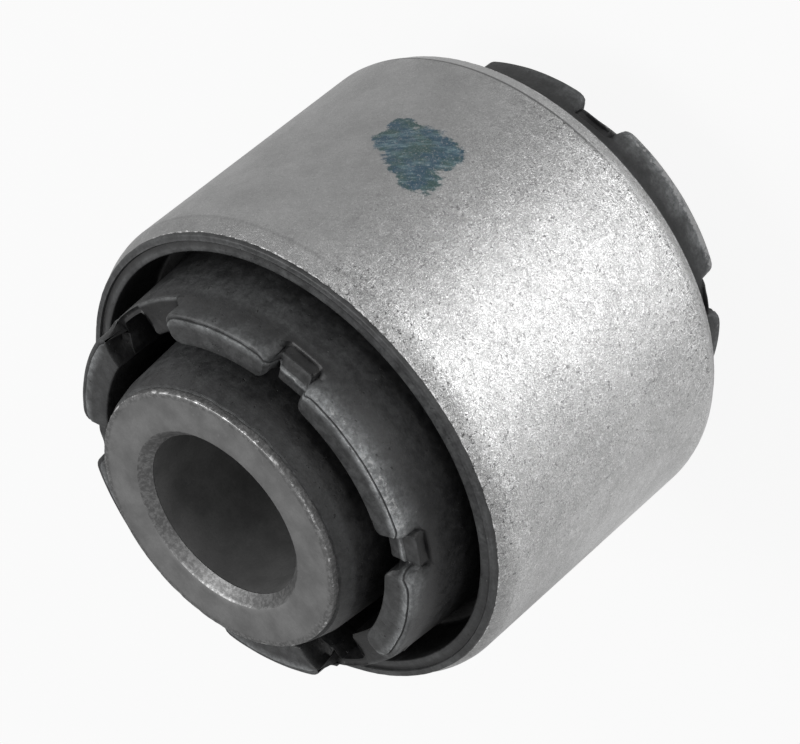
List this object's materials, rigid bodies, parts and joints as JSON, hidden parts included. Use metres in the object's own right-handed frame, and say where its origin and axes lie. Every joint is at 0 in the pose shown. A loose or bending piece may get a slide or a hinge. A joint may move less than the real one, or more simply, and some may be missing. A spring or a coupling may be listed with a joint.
{
  "type": "rubber metal bush",
  "caption": "Cylindrical rubber-to-metal bush: concentric steel sleeves bonded by rubber with raised stop pads at its ends, pressed into an eye and bolted through its bore.",
  "frame": {"origin": "on the bush's axis, in the end face of the inner sleeve that it stands on", "axes": "+Z along the bore, away from the face it stands on; the wide gaps between the groups of pads face +X and -X, and the pads +Y and -Y"},
  "size_m": [0.041, 0.041, 0.0446],
  "materials": {
    "zinc_plated_steel": "zinc plated, satin, finely sparkling, with a dab of blue paint",
    "machined_steel": "machined, satin, with bright nicks on its edges",
    "black_rubber": "moulded, satin, dusty along its edges"
  },
  "bodies": {
    "root": {"outer_sleeve": "zinc_plated_steel", "inner_sleeve": "machined_steel", "rubber_body": "black_rubber"}
  },
  "joints": []
}
